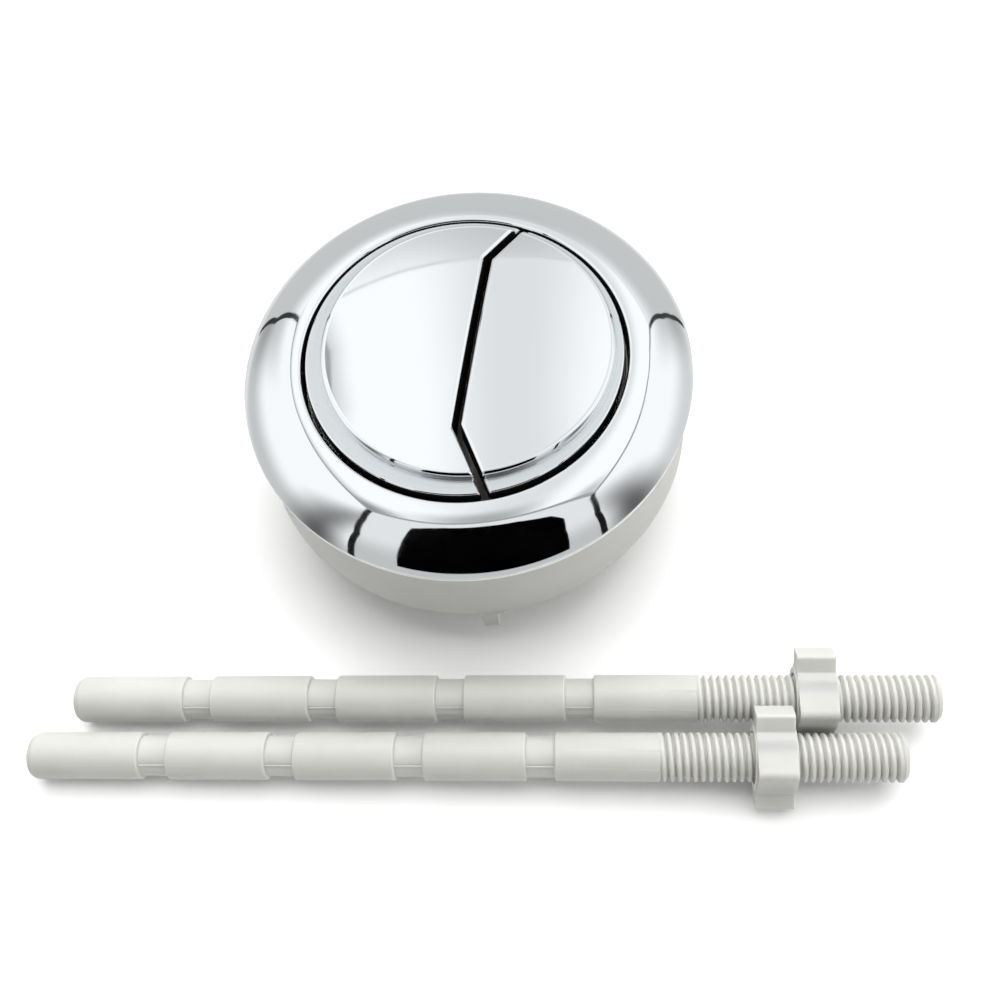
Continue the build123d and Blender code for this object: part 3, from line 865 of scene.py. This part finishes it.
class ACTUATOR_OT_lock_nut(bpy.types.Operator):
    """Makes the white lock nut with its collar, ribs, lugs and raised lips"""
    bl_idname = "actuator.lock_nut"
    bl_label = "Lock nut"

    edge_bevel = 0.25 * MM
    bore_round, rim_round, root_round, collar_round = 0.2 * MM, 0.4 * MM, 0.8 * MM, 0.3 * MM
    side_overlap, top_overlap = 0.3 * MM, 0.5 * MM
    tip_round = 0.7 * MM

    def execute(self, context):
        s = context.scene.actuator_lock_nut
        low = -s.height
        corners = [(s.bore, 0), (s.top_radius, 0), (s.low_radius, low), (s.low_radius - s.wall, low),
                   (s.top_radius - s.wall, -s.plate), (s.collar, -s.plate), (s.collar, -s.collar_height),
                   (s.bore, -s.collar_height)]
        radii = [self.bore_round, self.rim_round, s.edge_round, self.rim_round,
                 self.root_round, self.root_round, self.collar_round, self.collar_round]
        bm = bmesh.new()
        lathe(bm, rounded(corners, radii, steps=6, closed=True), steps=288, closed=True)
        for k in range(s.ribs):
            self.rib(bm, s, 2 * pi * k / s.ribs)
        for k in range(s.lugs):
            bearing = 2 * pi * k / s.lugs
            self.lug(bm, s, s.lug_bearing + bearing)
            self.catch(bm, s, s.catch_start + bearing, s.catch_end + bearing)
        piece("lock_nut_cup", bm, "white_plastic", "lock_nut", "lock_nut", bevel=self.edge_bevel)
        return {"FINISHED"}

    def rib(self, bm, s, bearing):
        """Upright rib between the collar and the wall, which runs a little into them and the plate."""
        start, end = s.collar - self.side_overlap, s.top_radius - s.wall + self.side_overlap
        half = s.rib_width / 2
        outline = [(start, -half), (end, -half), (end, half), (start, half)]
        upright(bm, outline, -s.plate - s.rib_height, self.top_overlap - s.plate, bearing)

    def lug(self, bm, s, bearing):
        """Lug below the wall's lower edge, with hollow roots and a rounded tip."""
        place = Matrix.Rotation(bearing, 3, "Z")
        half, root, top, rounding = s.lug_width / 2, s.lug_root, -s.height, self.tip_round
        tip, high = NUT_LOW.z, top + s.edge_round
        right = [(half + root, high), (half + root, top)]
        right += arc((half + root, top - root), root, 90, 180, steps=6)
        right += arc((half - rounding, tip + rounding), rounding, 0, -90, steps=5)
        outline = right + [(-t, z) for t, z in reversed(right)]
        inner, outer = s.low_radius - s.wall, s.low_radius
        prism(bm, outline, lambda p: place @ Vector((sqrt(inner**2 - p[0] ** 2), *p)),
              lambda p: place @ Vector((sqrt(outer**2 - p[0] ** 2), *p)))

    def catch(self, bm, s, start, end):
        """Short raised lip on the upper edge."""
        steps, inner = 16, s.top_radius - s.wall / 2
        bearings = [start + (end - start) * k / steps for k in range(steps + 1)]
        outline = [(s.catch_radius * cos(a), s.catch_radius * sin(a)) for a in bearings]
        outline += [(inner * cos(a), inner * sin(a)) for a in reversed(bearings)]
        upright(bm, outline, -s.catch_height, 0.0)


# Push rods and rod nuts

class ACTUATOR_OT_rods(bpy.types.Operator):
    """Makes the two push rods with their necks and threads"""
    bl_idname = "actuator.rods"
    bl_label = "Push rods"

    end_gap = 0.01 * MM
    tip_inset, tip_slope = 0.7 * MM, 1.1 * MM
    neck_slope, neck_round = 0.1 * MM, 0.15 * MM
    seam_root = 0.1 * MM
    thread_chamfer, thread_runout = 0.7 * MM, 0.4

    def execute(self, context):
        s = context.scene.actuator_rods
        for name in ("front", "rear"):
            node = name + "_push_rod"
            place = rod_place(node, AXES[name + "_rod_nut_travel"])
            low, high = reach(node, place)
            start, end = low + self.end_gap, high - self.end_gap
            bm = bmesh.new()
            self.shank(bm, s, start, end - s.thread)
            self.thread(bm, s, end - s.thread, end)
            piece(name + "_rod", bm, "white_plastic", "base", node, place)
        return {"FINISHED"}

    def shank(self, bm, s, start, end):
        """Plain part of the rod, from its rounded tip over the necks, with the mould's seam."""
        profile = [(0.0, start), (s.radius - self.tip_inset, start), (s.radius, start + self.tip_slope)]
        radii = [0.0, s.tip_round, s.tip_round]
        neck_start = start + s.tip
        for _ in range(s.necks):
            neck_end = neck_start + s.neck_length
            profile += [(s.radius, neck_start), (s.neck, neck_start + self.neck_slope),
                        (s.neck, neck_end - self.neck_slope), (s.radius, neck_end)]
            radii += [s.edge_round, self.neck_round, self.neck_round, s.edge_round]
            self.seam(bm, s, neck_start, neck_end)
            neck_start = neck_end + s.segment
        lathe(bm, rounded(profile + [(s.radius, end)], radii + [0.0]), steps=72)

    def seam(self, bm, s, low, high):
        """Fine raised line that the mould's joint leaves along a neck."""
        root, crest, half = s.neck - self.seam_root, s.neck + s.seam_rise, s.seam_width / 2
        outline = [(root, -half), (crest, -half / 2), (crest, half / 2), (root, half)]
        upright(bm, outline, low, high, s.seam)

    def thread(self, bm, s, low, high):
        """Threaded end with a chamfered face."""
        steps, chamfer = 64, self.thread_chamfer
        screw(bm, s.radius, s.depth, s.pitch, low, high - chamfer, steps, self.thread_runout * s.pitch)
        lathe(bm, [(s.radius, high - chamfer), (s.radius - chamfer, high), (0.0, high)], steps)


class ACTUATOR_OT_rod_nuts(bpy.types.Operator):
    """Makes the eared nuts on the rods"""
    bl_idname = "actuator.rod_nuts"
    bl_label = "Rod nuts"

    edge_bevel = 0.35 * MM
    ear_round, ear_root, hub_round = 0.5 * MM, 0.6 * MM, 0.2 * MM
    overlap, steps = 0.2 * MM, 64

    def execute(self, context):
        s = context.scene.actuator_rods
        for name in ("front", "rear"):
            node = name + "_rod_nut"
            place = rod_place(node, AXES[node + "_travel"]) @ Matrix.Rotation(s.ear_tilt, 4, "Z")
            bm = bmesh.new()
            self.plate(bm, s)
            hub = reach(node, place)[1]
            ring = [(s.bore, -hub), (s.hub, -hub), (s.hub, hub), (s.bore, hub)]
            lathe(bm, rounded(ring, self.hub_round, closed=True), self.steps, closed=True)
            piece(name + "_nut", bm, "white_plastic", node, node, place, bevel=self.edge_bevel)
        return {"FINISHED"}

    def plate(self, bm, s):
        """Square plate with an ear at two opposite corners, rounded ridges and a round opening."""
        ridge, ear, end = sqrt(2) * s.nut_half, s.ear / 2, s.ear_span / 2
        foot = ridge - ear
        side = [(end, -ear), (end, ear), (foot, ear), (0.0, ridge), (-foot, ear)]
        radii = [self.ear_round, self.ear_round, self.ear_root, s.nut_corner, self.ear_root]
        outline = rounded(side + [(-x, -y) for x, y in side], radii * 2, closed=True)
        half, opening = s.nut_thickness / 2, s.hub - self.overlap
        for height in (-half, half):
            fill(bm, [(*p, height) for p in outline], circle(opening, height, self.steps))
        grid(bm, [[(*p, -half) for p in outline], [(*p, half) for p in outline]])


# Stage

class ACTUATOR_OT_stage(bpy.types.Operator):
    """Sets the floor, the light tent and the camera"""
    bl_idname = "actuator.stage"
    bl_label = "Stage"

    # Name, place, side and power of each lamp
    lamps = (("overhead lamp", (0.0, 0.5, 1.02), 1.55, 23.0),
             ("right lamp", (1.2, 0.0, 0.5), 0.8, 4.0))
    floor_half = 0.85
    sky_front, sky_back = 0.2, 0.6
    tent_turn = radians(9.8)
    tent_half_width = 2.0
    tent_foot, tent_ground = -0.55, 1.5
    tent_wall_top = [(-0.4, 2.7), (1.7, 2.7)]
    camera_place = Vector((33.758, -108.385, 181.256)) * MM
    camera_turns = (("Z", 16.1), ("X", 26.199), ("Z", -8.367))
    image_side = 1000
    focal_pixels = 1250

    def execute(self, context):
        scene = context.scene
        scene.view_settings.view_transform = "Standard"
        self.floor()
        self.sky(scene)
        for lamp in self.lamps:
            self.lamp(*lamp)
        self.tent()
        self.camera(scene)
        return {"FINISHED"}

    def floor(self):
        """Paper sweep under the pieces."""
        bm = bmesh.new()
        bmesh.ops.create_grid(bm, x_segments=1, y_segments=1, size=self.floor_half)
        mesh = new_mesh("floor", bm)
        mesh.materials.append(finish("White paper", paper_sweep))
        obj = add_object("floor", mesh)
        obj.location.z = CAD_BOX[0][2]
        obj.visible_glossy = False

    def sky(self, scene):
        """Dim light from all round, least from the tent's open front, before a white background."""
        world = bpy.data.worlds.new("studio")
        scene.world = world
        world.use_nodes = True
        tree = world.node_tree
        way = add_node(tree, "TexCoord").outputs["Generated"]
        depth = add_node(tree, "SeparateXYZ", {"Vector": way}).outputs["Y"]
        fade = add_node(tree, "MapRange", {
            "Value": depth, "From Min": -1.0, "From Max": 0.1,
            "To Min": self.sky_front, "To Max": self.sky_back}, interpolation_type="SMOOTHSTEP")
        seen = add_node(tree, "LightPath").outputs["Is Camera Ray"]
        shown = add_node(tree, "Math", {0: fade, 1: seen}, operation="MAXIMUM")
        background = tree.nodes["Background"].inputs
        background["Color"].default_value = (1.0, 1.0, 1.0, 1.0)
        tree.links.new(shown.outputs["Value"], background["Strength"])

    def lamp(self, name, place, size, power):
        """Soft square lamp, aimed at the button and not mirrored in the chrome."""
        data = bpy.data.lights.new(name, "AREA")
        data.size, data.energy = size, power
        obj = add_object(name, data)
        aim = (-Vector(place)).to_track_quat("-Z", "Y")
        obj.matrix_world = Matrix.Translation(place) @ aim.to_matrix().to_4x4()
        obj.visible_camera = obj.visible_glossy = False

    def tent(self):
        """Painted reflections: glowing sheets, seams and dark front opening of a light tent, which only the
        reflections show.
        """
        # Depth and height of the tent's front and back from the foot upwards and of its ceiling from
        # front to back, along the left wall, the middle and the right wall, in halves of its width.
        front_line = [(-0.88, -0.6), (-0.85, 0.04), (-0.76, 0.72), (-0.52, 1.4), (-0.2, 2.07)]
        fronts = (front_line, front_line,
                  [(-0.88, -0.6), (-0.84, 0.1), (-0.75, 0.72), (-0.52, 1.4), (-0.43, 1.54)])
        backs = ([(0.98, -0.6), (0.98, 0.18), (1.2, 0.85), (1.4, 1.35), (1.58, 1.78)],
                 [(1.0, -0.6), (1.02, 0.1), (1.08, 0.6), (1.2, 1.0), (1.35, 1.28)],
                 [(0.95, -0.6), (0.91, -0.04), (0.95, 0.38), (1.1, 0.9), (1.21, 1.3)])
        ceilings = ([(-0.2, 2.07), (0.45, 2.12), (1.1, 2.25), (1.45, 2.1), (1.58, 1.78)],
                    [(-0.2, 2.07), (0.4, 2.1), (0.9, 2.0), (1.2, 1.6), (1.35, 1.28)],
                    [(-0.43, 1.54), (0.3, 1.57), (0.9, 1.7), (1.15, 1.6), (1.21, 1.3)])
        # Left and right end, depth and height of the opening's edge from its foot upwards.
        opening = [(-0.52, 0.6, -0.855, 0.12), (-0.54, 0.62, -0.76, 0.72), (-0.53, 0.62, -0.63, 1.1),
                   (-0.52, 0.5, -0.5, 1.41), (-0.51, 0.37, -0.45, 1.51), (-0.39, 0.22, -0.385, 1.63),
                   (-0.29, -0.02, -0.35, 1.7)]
        self.sheet("tent_opening", [[(x0, y, z), (x1, y, z)] for x0, x1, y, z in opening], 0.0)
        behind = 1.02
        front = [[Vector(p) * behind for p in row] for row in self.bowed(fronts)]
        self.sheet("tent_front", front, 0.85, ((0, 0, 0.1), (0, 0, 1), 0.1, 0.8, 0.68))
        self.sheet("tent_back", self.bowed(backs), 1.05, ((0, 0, 0.1), (0, 0, 1), 0.45, 1.5, 0.58),
                   ((0.07, 0, 1.35), (1, 0, 0.5), 0.05, 0.45, 0.75))
        ceiling = self.bowed(ceilings)
        self.sheet("tent_ceiling", ceiling, 1.08, ((-0.1, -0.1, 2.07), (1, 1, 1), 0.1, 0.6, 0.55),
                   ((0.07, 0, 0), (1, 0, 0), 0.05, 0.46, 0.76), ((-1.0, 0, 0), (1, 0, 0), 0.0, 0.25, 0.65),
                   ((-0.9, -0.1, 2.07), (1, 1, 1), 0.05, 0.45, 0.4),
                   ((0.75, -0.3, 1.55), (1, 1, 1), 0.05, 0.4, 0.4))
        self.seam("tent_front_top_seam", ceiling[0], half=0.04, shade=0.38)
        self.seam("tent_back_top_seam", ceiling[-1], half=0.008, shade=0.72)
        # A grey ground sheet that only the reflections show, darker than the white floor which the camera
        # sees: painted reflection.
        ends = (-self.tent_ground, self.tent_ground)
        self.sheet("tent_ground", [[(x, y, self.tent_foot) for x in ends] for y in ends], 0.78)
        # Name of each side wall, its place in the lists, the way to it, and of its shadows the light
        # left at its foot and beside the opening, with the narrowness and extent of the latter.
        sides = (("left", 0, -1, (0.58, 0.2, 9.0, 3.4)), ("right", 2, 1, (0.68, 0.17, 4.0, 1.75)))
        for name, side, way, (low, blot, narrow, extent) in sides:
            edges = [[(way, *f), (way, *b)] for f, b in zip(fronts[side], backs[side])]
            self.sheet(f"tent_{name}", edges + [[(way, *p) for p in self.tent_wall_top]], 1.05,
                       ((0, 0, -0.15), (0, 0, 1), 0.05, 0.6, low),
                       ((0, 1.0, 0.2), (0, 1, 0.5), 0.1, 0.55, 0.6),
                       ((0, -0.47, 0.1), (0, narrow, 1), 0.05, extent, blot))
            self.seam(f"tent_front_seam_{name}", [edge[0] for edge in edges], half=0.034, shade=0.01)
            self.seam(f"tent_back_seam_{name}", [edge[1] for edge in edges], half=0.02, shade=0.04)
            self.seam(f"tent_top_seam_{name}", [(way, *p) for p in ceilings[side]], half=0.03, shade=0.35)

    def bowed(self, lines):
        """Rows across the tent, each a curve from the left wall over the middle to the right wall."""
        half, rows = 8, []
        across = [k / half - 1 for k in range(2 * half + 1)]
        for left, middle, right in zip(*lines):
            ends = [Vector(right if x > 0 else left) for x in across]
            rows.append([(x, *Vector(middle).lerp(end, x * x)) for x, end in zip(across, ends)])
        return rows

    def seam(self, name, line, half, shade):
        """Narrow strip of the tent along a line, just inside the sheets."""
        rows, inside = [], 0.98
        for k, point in enumerate(line):
            point = Vector(point)
            run = Vector(line[min(k + 1, len(line) - 1)]) - Vector(line[max(k - 1, 0)])
            across = run.cross(point).normalized() * half
            rows.append([(point - across) * inside, (point + across) * inside])
        self.sheet(name, rows, shade)

    def sheet(self, name, rows, shade, *shadows):
        """Sheet of the tent, which glows as brightly as its shade but for its shadows."""
        bm = bmesh.new()
        grid(bm, rows, wrap=False)
        mesh = new_mesh(name, bm)
        mesh.materials.append(finish(name, lambda tree, _: self.glow(tree, shade, shadows), "Emission"))
        obj = add_object(name, mesh)
        obj.matrix_world = Matrix.Rotation(self.tent_turn, 4, "Z") @ Matrix.Scale(self.tent_half_width, 4)
        obj.visible_camera = obj.visible_shadow = obj.visible_diffuse = False
        obj.visible_transmission = obj.visible_volume_scatter = False

    def glow(self, tree, shade, shadows):
        """How brightly lit cloth glows. A shadow dims it round a point, with a weight for each axis, to
        a share of its light where that is near and not at all where it is far."""
        for point, weights, near, far, share in shadows:
            place = add_node(tree, "TexCoord").outputs["Object"]
            offset = add_node(tree, "VectorMath", {0: place, 1: point}, operation="SUBTRACT")
            offset = add_node(tree, "VectorMath", {0: offset, 1: weights}, operation="MULTIPLY")
            gap = add_node(tree, "VectorMath", {0: offset}, operation="LENGTH").outputs["Value"]
            fade = add_node(tree, "MapRange", {
                "Value": gap, "From Min": near, "From Max": far, "To Min": share, "To Max": 1.0},
                interpolation_type="SMOOTHSTEP")
            shade = add_node(tree, "Math", {0: fade, 1: shade}, operation="MULTIPLY")
        return {"Strength": shade}

    def camera(self, scene):
        """Camera above and in front of the button, as far off as the photograph's perspective shows."""
        data = bpy.data.cameras.new("camera")
        data.lens = data.sensor_width * self.focal_pixels / self.image_side
        data.clip_start = 1 * MM
        obj = add_object("camera", data)
        place = Matrix.Translation(self.camera_place)
        for axis, angle in self.camera_turns:
            place = place @ Matrix.Rotation(radians(angle), 4, axis)
        obj.matrix_world = place
        scene.camera = obj


class ACTUATOR_PT_sidebar(bpy.types.Panel):
    """Lists the pieces and the stage"""
    bl_idname = "ACTUATOR_PT_sidebar"
    bl_label = "Cistern actuator"
    bl_space_type = "VIEW_3D"
    bl_region_type = "UI"
    bl_category = "Actuator"

    def draw(self, context):
        for operator in OPERATORS:
            self.layout.operator(operator.bl_idname)
        for name in GROUPS:
            box = self.layout.box()
            group = getattr(context.scene, name)
            for key in group.bl_rna.properties.keys():
                if key not in ("rna_type", "name"):
                    box.prop(group, key)


GROUPS = {
    "actuator_bezel": BezelSizes,
    "actuator_caps": CapSizes,
    "actuator_body": BodySizes,
    "actuator_lock_nut": LockNutSizes,
    "actuator_rods": RodSizes,
    "actuator_finishes": Finishes,
}
OPERATORS = (
    ACTUATOR_OT_bezel,
    ACTUATOR_OT_caps,
    ACTUATOR_OT_body,
    ACTUATOR_OT_plungers,
    ACTUATOR_OT_springs,
    ACTUATOR_OT_lock_nut,
    ACTUATOR_OT_rods,
    ACTUATOR_OT_rod_nuts,
    ACTUATOR_OT_stage,
)


def register():
    for cls in (*GROUPS.values(), *OPERATORS, ACTUATOR_PT_sidebar):
        bpy.utils.register_class(cls)
    for name, group in GROUPS.items():
        setattr(bpy.types.Scene, name, PointerProperty(type=group))


def unregister():
    for name in GROUPS:
        delattr(bpy.types.Scene, name)
    for cls in reversed((*GROUPS.values(), *OPERATORS, ACTUATOR_PT_sidebar)):
        bpy.utils.unregister_class(cls)


def main():
    register()
    for operator in OPERATORS:
        family, name = operator.bl_idname.split(".")
        getattr(getattr(bpy.ops, family), name)()


if __name__ == "__main__":
    main()
